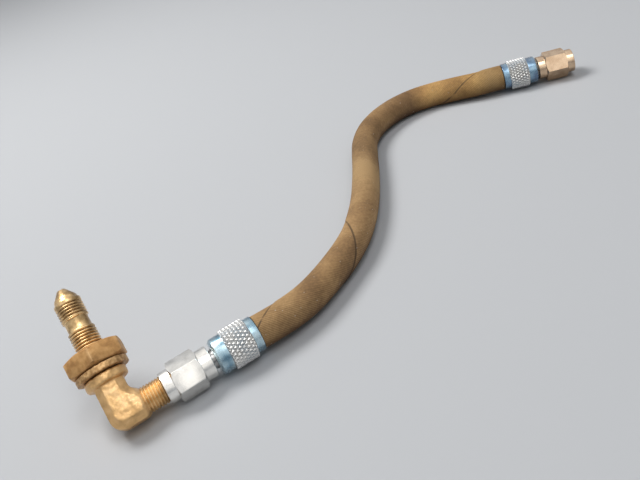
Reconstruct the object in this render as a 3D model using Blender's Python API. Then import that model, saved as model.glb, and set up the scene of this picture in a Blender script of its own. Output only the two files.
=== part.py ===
"""A primer hose: a cloth-covered rubber hose with a swivel fitting on each end, and a bulkhead elbow screwed to one.

The hose lies on a flat surface in an S. The near fitting's nut is run home on the elbow, whose bulkhead arm
stands up at a slant with its washer and locknut. The far fitting's nut is free and turns on its nipple.
Units are metres, +Z is up, +X runs out of the far fitting, and the fittings' box stands centred on the origin.
"""

import math

import bmesh
import bpy
from mathutils import Vector

MM = 0.001
CLEAR = 0.3 * MM
FLARE_ANGLE = math.radians(37)

# The hose and the way it lies: its ends, where each fitting points, and the route between them.
HOSE_D = 12.3 * MM
HOSE_STEP = 8 * MM
HOSE_LIFT = 0.05 * MM
NEAR_END = (43.9 * MM, 25.6 * MM)
NEAR_AZIMUTH = math.radians(210.3)
FAR_END = (164.3 * MM, 178.0 * MM)
FAR_AZIMUTH = 0.0

# Each route point is x, y in millimetres, then how far the hose is lifted from the surface to its fitting's axis.
ROUTE = [
    (49.2, 28.5, 1.0),
    (55.3, 32.6, 0.7),
    (61.4, 38.2, 0.35),
    (67.0, 45.3, 0.1),
    (72.4, 53.5, 0.0),
    (77.5, 62.5, 0.0),
    (81.8, 72.5, 0.0),
    (84.8, 83.7, 0.0),
    (86.9, 95.8, 0.0),
    (88.1, 108.4, 0.0),
    (88.9, 120.9, 0.0),
    (89.4, 133.5, 0.0),
    (90.4, 146.1, 0.0),
    (94.0, 157.7, 0.0),
    (100.6, 167.6, 0.0),
    (109.3, 174.8, 0.0),
    (119.3, 179.2, 0.0),
    (129.9, 180.8, 0.0),
    (141.0, 180.0, 0.3),
    (151.0, 178.4, 0.7),
    (159.2, 178.0, 1.0),
]

# The socket that grips the hose: a rim band, a knurled grip and a plain band with a chamfered front.
SOCKET_LENGTH = 16.9 * MM
RIM_D = 13.1 * MM
RIM_LENGTH = 2.9 * MM
RIM_CHAMFER = 0.35 * MM
KNURL_D = 14.7 * MM
KNURL_DEPTH = 0.55 * MM
KNURL_LENGTH = 9.3 * MM
KNURL_COUNT_ALONG = 7
KNURL_COUNT_ROUND = 30
BAND_D = 13.3 * MM
BAND_CHAMFER = 0.9 * MM

# The nipple: a flared head inside the nut, a neck through it, and a tail inside the socket.
NIPPLE_BORE = 3.2 * MM
HEAD_D = 9.0 * MM
HEAD_LENGTH = 3.1 * MM
FLARE_D = 7.7 * MM
NECK_D = 7.0 * MM
NECK_IN_SOCKET = 3.0 * MM
TAIL_D = 5.2 * MM
TAIL_SHORT = 1.2 * MM

# The swivel nut: a collar at each side of its hex.
NUT_GAP = 2.05 * MM
NUT_LENGTH = 17.2 * MM
NUT_FLATS = 12.7 * MM
NUT_COLLAR_D = 11.3 * MM
NUT_REAR_COLLAR = 3.5 * MM
NUT_HEX = 10.2 * MM
NUT_EDGE = 0.2 * MM
NUT_THREAD_DEPTH = 9.9 * MM
NEAR_NUT_TURN = math.radians(6)
FAR_NUT_TURN = 0.0
FAR_NUT_SLIDE = 1.6 * MM

# The thread on both arms of the elbow, and the flared nose beyond it.
THREAD_D = 9.525 * MM
THREAD_PITCH = 1.2 * MM
THREAD_DEPTH = 0.5 * MM
NOSE_BASE_D = 7.7 * MM
NOSE_TIP_D = 3.1 * MM
NOSE_LAND = 1.9 * MM
NOSE_STEP = 0.2 * MM
ELBOW_BORE = 1.9 * MM

# The elbow's forged body, from the crossing of its two axes.
FORGING_DEPTH = 11.0 * MM
FORGING_CHAMFER = 2.6 * MM
FORGING_CORNER = 5.0 * MM
FORGING_FILLET = 2.6 * MM
BULKHEAD_ARM_WIDTH = 10.2 * MM
HOSE_ARM_WIDTH = 10.4 * MM
HOSE_ARM_BLOCK = 7.4 * MM
HOSE_ARM_CONE = 2.0 * MM
NUT_MOUTH_TO_AXIS = 14.7 * MM
ARM_SLANT = math.radians(42.8)

# The bulkhead arm, from the same crossing: round shoulder, thread with a relief in it, nose.
SHOULDER_START = 10.9 * MM
SHOULDER_LENGTH = 3.4 * MM
SHOULDER_D = 14.8 * MM
SHOULDER_ROUND = 1.1 * MM
ARM_RELIEF_START = 31.5 * MM
ARM_RELIEF_LENGTH = 4.5 * MM
ARM_RELIEF_D = 8.3 * MM
ARM_RELIEF_EDGE = 0.3 * MM
ARM_THREAD_END = 42.6 * MM

# The washer and the locknut that clamp the bulkhead, run down to the shoulder.
WASHER_D = 18.4 * MM
WASHER_THICKNESS = 2.3 * MM
WASHER_EDGE = 0.35 * MM
LOCKNUT_FLATS = 19.05 * MM
LOCKNUT_HEIGHT = 6.6 * MM
LOCKNUT_FACE_D = 17.6 * MM
LOCKNUT_CHAMFER = math.radians(24)
LOCKNUT_TURN = math.radians(56.4)

NUT_CORNER_CHAMFER = math.radians(35)

SIDES = 32
FINE_SIDES = 40
BORE_SIDES = 24
CUT_PAST = 1.0 * MM
OVERLAP = 1.0 * MM

# Places along a fitting's axis, measured outwards from the hose's cut end.
AXIS_HEIGHT = KNURL_D / 2
SOCKET_RIM = CLEAR
SOCKET_FRONT = SOCKET_RIM + SOCKET_LENGTH
NUT_REAR = SOCKET_FRONT + NUT_GAP
NUT_MOUTH = NUT_REAR + NUT_LENGTH
NUT_SEAT = NUT_MOUTH - NUT_THREAD_DEPTH
HEAD_BACK = NUT_SEAT + CLEAR
HEAD_FACE = HEAD_BACK + HEAD_LENGTH
ELBOW_CROSSING = NUT_MOUTH + NUT_MOUTH_TO_AXIS

# The hose arm's nose seats in the nipple's flare, a clearance away along the cone's normal.
FLARE_SHIFT = CLEAR / math.sin(FLARE_ANGLE)
HOSE_NOSE_BASE = ELBOW_CROSSING - HEAD_FACE - FLARE_SHIFT + (NOSE_BASE_D - FLARE_D) / 2 / math.tan(FLARE_ANGLE)
NOSE_LENGTH = (NOSE_BASE_D - NOSE_TIP_D) / 2 / math.tan(FLARE_ANGLE)
SHOULDER_FACE = SHOULDER_START + SHOULDER_LENGTH
WASHER_START = SHOULDER_FACE + CLEAR
LOCKNUT_START = WASHER_START + WASHER_THICKNESS + CLEAR
LOCKNUT_END = LOCKNUT_START + LOCKNUT_HEIGHT
ARM_NOSE_BASE = ARM_THREAD_END + NOSE_LAND
STEM_CORE = ELBOW_BORE / 4


def clear_scene():
    for old in list(bpy.data.objects):
        bpy.data.objects.remove(old)


def material(name, colour, roughness, metallic):
    made = bpy.data.materials.new(name)
    made.use_nodes = True
    shader = made.node_tree.nodes["Principled BSDF"]
    shader.inputs["Base Color"].default_value = (*colour, 1)
    shader.inputs["Roughness"].default_value = roughness
    shader.inputs["Metallic"].default_value = metallic
    return made


def add_object(name, data, parent, look=None):
    obj = bpy.data.objects.new(name, data)
    bpy.context.scene.collection.objects.link(obj)
    obj.parent = parent
    if look:
        data.materials.append(look)
    return obj


def add_empty(name, parent, location, turn=(0, 0, 0)):
    obj = add_object(name, None, parent)
    obj.location = location
    obj.rotation_euler = turn
    return obj


def mesh_object(name, bm, parent, look=None, smooth_angle=35):
    bmesh.ops.recalc_face_normals(bm, faces=bm.faces)
    mesh = bpy.data.meshes.new(name)
    bm.to_mesh(mesh)
    bm.free()
    if smooth_angle:
        mesh.shade_smooth()
        mesh.set_sharp_from_angle(angle=math.radians(smooth_angle))
    return add_object(name, mesh, parent, look)


def turned(name, outline, parent, look=None, sides=SIDES):
    """Revolves a closed outline of (place along X, radius) points about X."""
    bm = bmesh.new()
    ring = [bm.verts.new((x, 0, radius)) for x, radius in outline]
    edges = [bm.edges.new(pair) for pair in zip(ring, ring[1:] + ring[:1])]
    turn = 2 * math.pi
    bmesh.ops.spin(
        bm, geom=ring + edges, cent=(0, 0, 0), axis=(1, 0, 0), angle=turn, steps=sides, use_merge=True
    )
    return mesh_object(name, bm, parent, look)


def cylinder(name, start, end, diameter, parent, sides=SIDES):
    """A solid cylinder, or a prism with few sides, along X."""
    bm = bmesh.new()
    bmesh.ops.create_cone(
        bm, cap_ends=True, segments=sides, radius1=diameter / 2, radius2=diameter / 2, depth=end - start
    )
    bmesh.ops.rotate(bm, verts=bm.verts, cent=(0, 0, 0), matrix=X_FROM_Z)
    bmesh.ops.translate(bm, verts=bm.verts, vec=((start + end) / 2, 0, 0))
    return mesh_object(name, bm, parent, smooth_angle=0 if sides == 6 else 35)


X_FROM_Z = Vector((0, 0, 1)).rotation_difference(Vector((1, 0, 0))).to_matrix()


def hexagon(name, start, end, flats, turn, parent):
    """A hexagonal prism along X, with a corner at angle turn from the Y axis."""
    prism = cylinder(name, start, end, flats / math.cos(math.pi / 6), parent, sides=6)
    prism.rotation_euler.x = turn
    return prism


def combine(obj, other, operation):
    change = obj.modifiers.new(other.name, "BOOLEAN")
    change.operation = operation
    change.object = other
    other.hide_render = True
    other.display_type = "WIRE"


def thread_outline(start, end):
    """Points along a thread's outside, from start to end, as rings of one pitch with sharp crests."""
    root = THREAD_D / 2 - THREAD_DEPTH
    count = max(1, round((end - start) / THREAD_PITCH))
    pitch = (end - start) / count
    points = [(start, root)]
    for i in range(count):
        points.append((start + (i + 0.5) * pitch, THREAD_D / 2))
        points.append((start + (i + 1) * pitch, root))
    return points


def nose_outline(base):
    """Points of the land before the flared nose's base, then of the nose itself."""
    return [
        (base - NOSE_LAND + NOSE_STEP, NOSE_BASE_D / 2),
        (base, NOSE_BASE_D / 2),
        (base + NOSE_LENGTH, NOSE_TIP_D / 2),
    ]


def knurl_rings():
    """The knurled grip as rings of (place, radius at a groove crossing, radius at a diamond's peak)."""
    root = KNURL_D / 2 - KNURL_DEPTH
    start = SOCKET_RIM + RIM_LENGTH
    rings = [(start, root, root)]
    for i in range(KNURL_COUNT_ALONG):
        rings.append((start + KNURL_LENGTH * (i + 0.5) / KNURL_COUNT_ALONG, root, KNURL_D / 2))
    rings.append((start + KNURL_LENGTH, root, root))
    return rings


def add_socket(name, parent, look):
    """The sleeve, ring by ring from its rim bore round the outside to its front bore, with the diamonds as facets."""
    band_start = SOCKET_RIM + RIM_LENGTH + KNURL_LENGTH
    tail_hole = TAIL_D / 2 + CLEAR
    neck_hole = NECK_D / 2 + CLEAR
    neck_stop = SOCKET_FRONT - NECK_IN_SOCKET - CLEAR
    plain_before = [
        (SOCKET_RIM, tail_hole),
        (SOCKET_RIM, RIM_D / 2 - RIM_CHAMFER),
        (SOCKET_RIM + RIM_CHAMFER, RIM_D / 2),
        (SOCKET_RIM + RIM_LENGTH, RIM_D / 2),
    ]
    plain_after = [
        (band_start, BAND_D / 2),
        (SOCKET_FRONT - BAND_CHAMFER, BAND_D / 2),
        (SOCKET_FRONT, BAND_D / 2 - BAND_CHAMFER),
        (SOCKET_FRONT, neck_hole),
        (neck_stop, neck_hole),
        (neck_stop, tail_hole),
    ]
    rings = [(x, r, r) for x, r in plain_before] + knurl_rings() + [(x, r, r) for x, r in plain_after]
    bm = bmesh.new()
    columns = 2 * KNURL_COUNT_ROUND
    grid = []
    for j, (x, crossing, peak) in enumerate(rings):
        row = []
        for k in range(columns):
            angle = 2 * math.pi * k / columns
            radius = peak if (j + k) % 2 else crossing
            row.append(bm.verts.new((x, radius * math.sin(angle), -radius * math.cos(angle))))
        grid.append(row)
    for j in range(len(rings)):
        here, ahead = grid[j], grid[(j + 1) % len(rings)]
        for k in range(columns):
            beside = (k + 1) % columns
            a, b, c, d = here[k], here[beside], ahead[beside], ahead[k]
            if (j + k) % 2:
                bm.faces.new((a, b, d))
                bm.faces.new((b, c, d))
            else:
                bm.faces.new((a, b, c))
                bm.faces.new((a, c, d))
    return mesh_object(name, bm, parent, look, smooth_angle=20)


def add_nipple(name, parent, look):
    bore = NIPPLE_BORE / 2
    flare_depth = (FLARE_D - NIPPLE_BORE) / 2 / math.tan(FLARE_ANGLE)
    neck_start = SOCKET_FRONT - NECK_IN_SOCKET
    outline = [
        (SOCKET_RIM + TAIL_SHORT, bore),
        (HEAD_FACE - flare_depth, bore),
        (HEAD_FACE, FLARE_D / 2),
        (HEAD_FACE, HEAD_D / 2),
        (HEAD_BACK, HEAD_D / 2),
        (HEAD_BACK, NECK_D / 2),
        (neck_start, NECK_D / 2),
        (neck_start, TAIL_D / 2),
        (SOCKET_RIM + TAIL_SHORT, TAIL_D / 2),
    ]
    return turned(name, outline, parent, look)


def add_swivel_nut(name, parent, look, turn, slide):
    """The nut, turned with its hex as a drum, then cut to six flats that miss the slimmer collars.

    The slide is how far it has dropped back along its nipple towards the socket.
    """
    seat = add_empty(name + "_seat", parent, (-slide, 0, 0))
    hex_start = NUT_REAR + NUT_REAR_COLLAR
    hex_end = hex_start + NUT_HEX
    corner = NUT_FLATS / math.cos(math.pi / 6) / 2
    flat = NUT_FLATS / 2
    collar = NUT_COLLAR_D / 2
    slope = (corner - flat) * math.tan(NUT_CORNER_CHAMFER)
    neck_hole = NECK_D / 2 + CLEAR
    thread_hole = THREAD_D / 2 + CLEAR
    outline = [
        (NUT_MOUTH, thread_hole),
        (NUT_MOUTH, collar - NUT_EDGE),
        (NUT_MOUTH - NUT_EDGE, collar),
        (hex_end, collar),
        (hex_end, flat),
        (hex_end - slope, corner + CLEAR),
        (hex_start + slope, corner + CLEAR),
        (hex_start, flat),
        (hex_start, collar),
        (NUT_REAR + NUT_EDGE, collar),
        (NUT_REAR, collar - NUT_EDGE),
        (NUT_REAR, neck_hole),
        (NUT_SEAT, neck_hole),
        (NUT_SEAT, thread_hole),
    ]
    nut = turned(name, outline, seat, look)
    flats = hexagon(name + "_flats", NUT_REAR - CUT_PAST, NUT_MOUTH + CUT_PAST, NUT_FLATS, turn, seat)
    combine(nut, flats, "INTERSECT")
    return nut


def forging_outline(inset):
    """The L of the two arms in the plane of their axes, with its rim moved in by inset, as (hose way, bulkhead way)."""
    x = BULKHEAD_ARM_WIDTH / 2 - inset
    z = HOSE_ARM_WIDTH / 2 - inset
    top = SHOULDER_START + OVERLAP
    inner = FORGING_FILLET + inset
    outer = FORGING_CORNER - inset
    points = [(-x, top)]
    for i in range(7):
        angle = math.pi + i * math.pi / 12
        points.append((-x + outer + outer * math.cos(angle), -z + outer + outer * math.sin(angle)))
    points.append((HOSE_ARM_BLOCK, -z))
    points.append((HOSE_ARM_BLOCK, z))
    for i in range(5):
        angle = -math.pi / 2 - i * math.pi / 8
        points.append((x + inner + inner * math.cos(angle), z + inner + inner * math.sin(angle)))
    points.append((x, top))
    return points


def add_forging(name, parent, look):
    """The forged L: four copies of its outline across its thickness, the outer pair set in by the chamfer."""
    half = FORGING_DEPTH / 2
    layers = [
        (-half, FORGING_CHAMFER),
        (FORGING_CHAMFER - half, 0),
        (half - FORGING_CHAMFER, 0),
        (half, FORGING_CHAMFER),
    ]
    bm = bmesh.new()
    loops = []
    for y, inset in layers:
        loops.append([bm.verts.new((x, y, z)) for x, z in forging_outline(inset)])
    for low, high in zip(loops, loops[1:]):
        count = len(low)
        for k in range(count):
            beside = (k + 1) % count
            bm.faces.new((low[k], low[beside], high[beside], high[k]))
    bm.faces.new(loops[0])
    bm.faces.new(reversed(loops[-1]))
    forging = mesh_object(name, bm, parent, look)
    combine(forging, add_lathe_cut(parent), "DIFFERENCE")
    return forging


def add_lathe_cut(parent):
    """What the lathe takes off the forging to cone its hose arm down to the thread."""
    cone_start = HOSE_ARM_BLOCK - HOSE_ARM_CONE
    outline = [
        (cone_start, THREAD_D / 2 + HOSE_ARM_CONE),
        (cone_start, SHOULDER_START),
        (HOSE_ARM_BLOCK + CUT_PAST, SHOULDER_START),
        (HOSE_ARM_BLOCK + CUT_PAST, THREAD_D / 2 - CUT_PAST),
    ]
    return turned("lathe_cut", outline, parent)


def add_bulkhead_stem(arm):
    """All that is turned on the bulkhead arm: shoulder, thread, relief and nose, plain under the locknut."""
    relief_end = ARM_RELIEF_START + ARM_RELIEF_LENGTH
    thread = THREAD_D / 2
    hidden_end = LOCKNUT_END - THREAD_PITCH / 2
    rim = SHOULDER_D / 2
    outline = [(0, thread - THREAD_DEPTH), (SHOULDER_START, thread - THREAD_DEPTH)]
    for i in range(4):
        angle = i * math.pi / 6
        away = SHOULDER_ROUND * (1 - math.cos(angle))
        outline.append((SHOULDER_START + away, rim - SHOULDER_ROUND * (1 - math.sin(angle))))
    outline += [(SHOULDER_FACE - RIM_CHAMFER, rim), (SHOULDER_FACE, rim - RIM_CHAMFER)]
    outline += [(SHOULDER_FACE, thread), (hidden_end, thread)]
    outline += thread_outline(hidden_end, ARM_RELIEF_START)
    outline += [
        (ARM_RELIEF_START + ARM_RELIEF_EDGE, ARM_RELIEF_D / 2),
        (relief_end - ARM_RELIEF_EDGE, ARM_RELIEF_D / 2),
    ]
    outline += thread_outline(relief_end, ARM_THREAD_END)
    outline += nose_outline(ARM_NOSE_BASE)
    outline += [(ARM_NOSE_BASE + NOSE_LENGTH, STEM_CORE), (0, STEM_CORE)]
    return turned("bulkhead_stem", outline, arm)


def add_hose_stem(parent):
    """Everything turned on the arm that enters the near nut."""
    outline = [(0, THREAD_D / 2 - THREAD_DEPTH)]
    outline += thread_outline(HOSE_ARM_BLOCK, HOSE_NOSE_BASE - NOSE_LAND)
    outline += nose_outline(HOSE_NOSE_BASE)
    outline += [(HOSE_NOSE_BASE + NOSE_LENGTH, STEM_CORE), (0, STEM_CORE)]
    return turned("hose_stem", outline, parent)


def add_elbow(parent, look):
    """The forging with its two turned stems joined on, then drilled from both noses to the crossing."""
    body = add_forging("elbow_body", parent, look)
    arm = add_empty("bulkhead_arm", parent, (0, 0, 0), (0, -math.pi / 2, 0))
    combine(body, add_bulkhead_stem(arm), "UNION")
    combine(body, add_hose_stem(parent), "UNION")
    arm_tip = ARM_NOSE_BASE + NOSE_LENGTH + CUT_PAST
    hose_tip = HOSE_NOSE_BASE + NOSE_LENGTH + CUT_PAST
    combine(body, cylinder("bulkhead_bore", -ELBOW_BORE / 2, arm_tip, ELBOW_BORE, arm, BORE_SIDES), "DIFFERENCE")
    combine(body, cylinder("hose_bore", -ELBOW_BORE / 2, hose_tip, ELBOW_BORE, parent, BORE_SIDES), "DIFFERENCE")
    return arm


def add_washer(arm, look):
    hole = THREAD_D / 2 + CLEAR
    rim = WASHER_D / 2
    end = WASHER_START + WASHER_THICKNESS
    outline = [
        (WASHER_START, hole),
        (WASHER_START, rim - WASHER_EDGE),
        (WASHER_START + WASHER_EDGE, rim),
        (end - WASHER_EDGE, rim),
        (end, rim - WASHER_EDGE),
        (end, hole),
    ]
    return turned("bulkhead_washer", outline, arm, look, FINE_SIDES)


def add_locknut(arm, look):
    hole = THREAD_D / 2 + CLEAR
    corner = LOCKNUT_FLATS / math.cos(math.pi / 6) / 2 + CLEAR
    face = LOCKNUT_FACE_D / 2
    slope = (corner - face) * math.tan(LOCKNUT_CHAMFER)
    outline = [
        (LOCKNUT_START, hole),
        (LOCKNUT_START, face),
        (LOCKNUT_START + slope, corner),
        (LOCKNUT_END - slope, corner),
        (LOCKNUT_END, face),
        (LOCKNUT_END, hole),
    ]
    nut = turned("bulkhead_locknut", outline, arm, look, FINE_SIDES)
    start, end = LOCKNUT_START - CUT_PAST, LOCKNUT_END + CUT_PAST
    combine(nut, hexagon("locknut_flats", start, end, LOCKNUT_FLATS, LOCKNUT_TURN, arm), "INTERSECT")
    return nut


def smooth_route(corners, step):
    """Points a step apart on a Catmull-Rom curve through the corners."""
    ends = [2 * corners[0] - corners[1]] + corners + [2 * corners[-1] - corners[-2]]
    fine = [corners[0]]
    for before, start, end, after in zip(ends, ends[1:], ends[2:], ends[3:]):
        for i in range(1, 17):
            t = i / 16
            fine.append(
                0.5
                * (
                    2 * start
                    + (end - before) * t
                    + (2 * before - 5 * start + 4 * end - after) * t**2
                    + (3 * start - before - 3 * end + after) * t**3
                )
            )
    runs = [0.0]
    for a, b in zip(fine, fine[1:]):
        runs.append(runs[-1] + (b - a).length)
    count = round(runs[-1] / step)
    points = []
    k = 0
    for i in range(count + 1):
        target = runs[-1] * i / count
        while k < len(runs) - 2 and runs[k + 1] < target:
            k += 1
        points.append(fine[k].lerp(fine[k + 1], (target - runs[k]) / (runs[k + 1] - runs[k])))
    return points


def add_hose(parent, look):
    lying = HOSE_D / 2 + HOSE_LIFT
    corners = [Vector((*NEAR_END, AXIS_HEIGHT))]
    for x, y, lift in ROUTE:
        corners.append(Vector((x * MM, y * MM, lying + lift * (AXIS_HEIGHT - lying))))
    corners.append(Vector((*FAR_END, AXIS_HEIGHT)))
    points = smooth_route(corners, HOSE_STEP)
    curve = bpy.data.curves.new("hose", "CURVE")
    curve.dimensions = "3D"
    curve.bevel_depth = HOSE_D / 2
    curve.bevel_resolution = 4
    curve.use_fill_caps = True
    spline = curve.splines.new("POLY")
    spline.points.add(len(points) - 1)
    for point, place in zip(spline.points, points):
        point.co = (*place, 1)
    spline.use_smooth = True
    return add_object("hose", curve, parent, look)


def centre_on_origin(assembly, names):
    """Moves the assembly so that the box of the named fittings stands on the origin, centred in plan."""
    bpy.context.view_layer.update()
    graph = bpy.context.evaluated_depsgraph_get()
    corners = []
    for name in names:
        fitting = bpy.data.objects[name].evaluated_get(graph)
        corners += [fitting.matrix_world @ vertex.co for vertex in fitting.data.vertices]
    for axis in (0, 1):
        places = [corner[axis] for corner in corners]
        assembly.location[axis] = -(min(places) + max(places)) / 2
    bpy.context.view_layer.update()


def build():
    clear_scene()
    brass = material("forged_brass", (0.50, 0.31, 0.13), 0.42, 1.0)
    washer_brass = material("washer_brass", (0.56, 0.41, 0.22), 0.55, 1.0)
    nut_brass = material("nut_brass", (0.42, 0.27, 0.13), 0.5, 1.0)
    silver = material("clear_aluminium", (0.80, 0.80, 0.81), 0.3, 1.0)
    steel = material("nipple_steel", (0.62, 0.61, 0.60), 0.25, 1.0)
    gold = material("plated_steel", (0.72, 0.60, 0.44), 0.32, 1.0)
    blue = material("blue_anodised", (0.05, 0.16, 0.33), 0.3, 1.0)
    cloth = material("hose_cloth", (0.24, 0.16, 0.09), 0.8, 0.0)

    assembly = add_empty("assembly", None, (0, 0, 0))
    near = add_empty("near_end", assembly, (*NEAR_END, AXIS_HEIGHT), (0, 0, NEAR_AZIMUTH))
    far = add_empty("far_end", assembly, (*FAR_END, AXIS_HEIGHT), (0, 0, FAR_AZIMUTH))

    add_hose(assembly, cloth)
    add_socket("near_socket", near, blue)
    add_nipple("near_nipple", near, steel)
    add_swivel_nut("near_swivel_nut", near, silver, NEAR_NUT_TURN, 0.0)
    add_socket("far_socket", far, blue)
    add_nipple("far_nipple", far, steel)
    add_swivel_nut("far_swivel_nut", far, gold, FAR_NUT_TURN, FAR_NUT_SLIDE)

    slant = ARM_SLANT - math.pi / 2
    elbow = add_empty("elbow_crossing", near, (ELBOW_CROSSING, 0, 0), (slant, 0, math.pi))
    arm = add_elbow(elbow, brass)
    add_washer(arm, washer_brass)
    add_locknut(arm, nut_brass)

    fittings = ["elbow_body", "bulkhead_washer", "bulkhead_locknut"]
    for end in ("near", "far"):
        fittings += [end + "_socket", end + "_nipple", end + "_swivel_nut"]
    centre_on_origin(assembly, fittings)


build()
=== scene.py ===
"""Looks of a primer hose: cloth-covered hose, fittings and bulkhead elbow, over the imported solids.

Each piece is turned, cut or forged in its own straight frame, in metres along X, and is then placed where
its solid lies. Its own coordinates there are kept in millimetres in the attribute "local", which the
materials read.
"""

import math

import bpy
from mathutils import Matrix, Vector


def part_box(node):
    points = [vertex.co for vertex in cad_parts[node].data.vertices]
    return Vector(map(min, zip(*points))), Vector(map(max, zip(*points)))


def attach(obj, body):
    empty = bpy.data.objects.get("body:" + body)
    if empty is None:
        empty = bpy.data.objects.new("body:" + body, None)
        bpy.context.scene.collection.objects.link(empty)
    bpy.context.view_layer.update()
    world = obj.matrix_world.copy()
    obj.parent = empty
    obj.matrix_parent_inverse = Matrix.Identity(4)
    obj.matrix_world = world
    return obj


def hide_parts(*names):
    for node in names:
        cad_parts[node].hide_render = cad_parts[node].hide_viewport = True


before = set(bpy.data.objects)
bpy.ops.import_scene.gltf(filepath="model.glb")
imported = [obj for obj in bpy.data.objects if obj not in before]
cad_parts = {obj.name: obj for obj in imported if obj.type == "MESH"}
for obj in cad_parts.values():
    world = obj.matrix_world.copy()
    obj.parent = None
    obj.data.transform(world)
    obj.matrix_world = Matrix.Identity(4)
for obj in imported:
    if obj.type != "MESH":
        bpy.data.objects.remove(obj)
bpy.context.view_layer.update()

MM = 0.001
CLEAR = 0.3 * MM
FLARE_ANGLE = math.radians(37)
TURNED_SIDES = 64

# Faces that meet at less than this many degrees are shaded as one.
SMOOTH_TURNED = 35
SMOOTH_KNURL = 22
SMOOTH_FORGING = 50
SMOOTH_CLOTH = 60

# The hose and the way it lies, as the solids have it, in the plan of the photograph.
HOSE_D = 12.3 * MM
HOSE_LIFT = 0.05 * MM
NEAR_END = (43.9 * MM, 25.6 * MM)
NEAR_AZIMUTH = math.radians(210.3)
FAR_END = (164.3 * MM, 178.0 * MM)
ROUTE = [
    (49.2, 28.5, 1.0),
    (55.3, 32.6, 0.7),
    (61.4, 38.2, 0.35),
    (67.0, 45.3, 0.1),
    (72.4, 53.5, 0.0),
    (77.5, 62.5, 0.0),
    (81.8, 72.5, 0.0),
    (84.8, 83.7, 0.0),
    (86.9, 95.8, 0.0),
    (88.1, 108.4, 0.0),
    (88.9, 120.9, 0.0),
    (89.4, 133.5, 0.0),
    (90.4, 146.1, 0.0),
    (94.0, 157.7, 0.0),
    (100.6, 167.6, 0.0),
    (109.3, 174.8, 0.0),
    (119.3, 179.2, 0.0),
    (129.9, 180.8, 0.0),
    (141.0, 180.0, 0.3),
    (151.0, 178.4, 0.7),
    (159.2, 178.0, 1.0),
]
HOSE_RING_STEP = 0.5 * MM
HOSE_SIDES = 96

# The cloth tape wound round the hose: one edge rises over the last turn, and its ribs run square to it.
TAPE_PITCH = 52.6
TAPE_EDGE_AT = 4.1
TAPE_EDGE_TURN = 100 / 360
TAPE_ANGLE = math.atan(math.pi * HOSE_D / MM / TAPE_PITCH)
TAPE_RISE = 0.3 * MM
RIBS_ROUND = 33
WARPS_ROUND = 52

# The edge lies flush along the hose's middle, from here and this far each way, and then comes up.
TAPE_FLUSH_AT = 125
TAPE_FLUSH = 45
TAPE_FLUSH_FADE = 25

# How the cloth has faded and darkened from the near end to the far one.
HOSE_RUN = 228
HOSE_FADING = (
    (0.0, (1.05, 1.05, 1.0)),
    (0.25, (1.08, 1.08, 1.05)),
    (0.5, (0.9, 0.93, 0.93)),
    (0.68, (0.85, 0.83, 0.8)),
    (0.78, (0.7, 0.68, 0.68)),
    (0.82, (1.4, 1.32, 1.05)),
    (0.93, (1.35, 1.3, 1.0)),
    (0.97, (0.9, 0.9, 0.8)),
)

# The socket that grips the hose.
SOCKET_LENGTH = 16.9 * MM
RIM_D = 13.1 * MM
RIM_LENGTH = 2.9 * MM
KNURL_D = 14.7 * MM
KNURL_DEPTH = 0.5 * MM
KNURL_LENGTH = 9.3 * MM
KNURL_ROWS = 3.5
KNURL_ROUND = 30
KNURL_RINGS = 70
KNURL_STEEP = 1.7
KNURL_FADE = 0.4 * MM
SIDES_PER_DIAMOND = 8
BAND_D = 13.3 * MM
BAND_CHAMFER = 0.9 * MM

# The nipple inside the nut and the socket.
NIPPLE_BORE = 3.2 * MM
HEAD_D = 9.0 * MM
HEAD_LENGTH = 3.1 * MM
FLARE_D = 7.7 * MM
NECK_D = 7.0 * MM
NECK_IN_SOCKET = 3.0 * MM
TAIL_D = 5.2 * MM
TAIL_SHORT = 1.2 * MM

# The swivel nut.
NUT_GAP = 2.05 * MM
NUT_LENGTH = 17.2 * MM
NUT_FLATS = 12.7 * MM
NUT_COLLAR_D = 11.3 * MM
NUT_REAR_COLLAR = 3.5 * MM
NEAR_NUT_REACH = 0.7 * MM
FAR_NUT_REACH = 0
NUT_HEX = 10.2 * MM
NUT_EDGE = 0.2 * MM
NUT_SIDES = 96
NUT_SOFTENING = 0.12 * MM
NUT_THREAD_DEPTH = 9.9 * MM
NUT_CORNER_CHAMFER = math.radians(35)
NEAR_NUT_TURN = math.radians(6)
FAR_NUT_TURN = 0.0
FAR_NUT_SLIDE = 1.6 * MM

# The elbow's threads and flared noses.
THREAD_D = 9.525 * MM
THREAD_PITCH = 1.058 * MM
THREAD_DEPTH = 0.5 * MM
THREAD_STEPS = 9
THREAD_FLANK = 0.42
STEM_SIDES = 72
ON_RADIUS = 0.05 * MM
NOSE_BASE_D = 7.7 * MM
NOSE_TIP_D = 3.1 * MM
NOSE_LAND = 1.9 * MM
ELBOW_BORE = 1.9 * MM
BORE_SHOWN = 10 * MM

# The elbow's forging, from the crossing of its two axes.
FORGING_DEPTH = 11.0 * MM
FORGING_CHAMFER = 2.6 * MM
FORGING_CORNER = 5.0 * MM
FORGING_FILLET = 2.6 * MM
BULKHEAD_ARM_WIDTH = 10.2 * MM
HOSE_ARM_WIDTH = 10.4 * MM
HOSE_ARM_BLOCK = 7.4 * MM
HOSE_ARM_CONE = 2.0 * MM
HOSE_ARM_TURNED = 0.45
FORGING_VOXEL = 0.2 * MM
FORGING_SMOOTHING = 20
SKIN_LUMP = 2.6 * MM
SKIN_LUMP_DEPTH = 0.25 * MM
FLAT_LUMP = 2.0 * MM
FLAT_LUMP_DEPTH = 0.5 * MM
NUT_MOUTH_TO_AXIS = 14.7 * MM
ARM_SLANT = math.radians(42.8)

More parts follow.
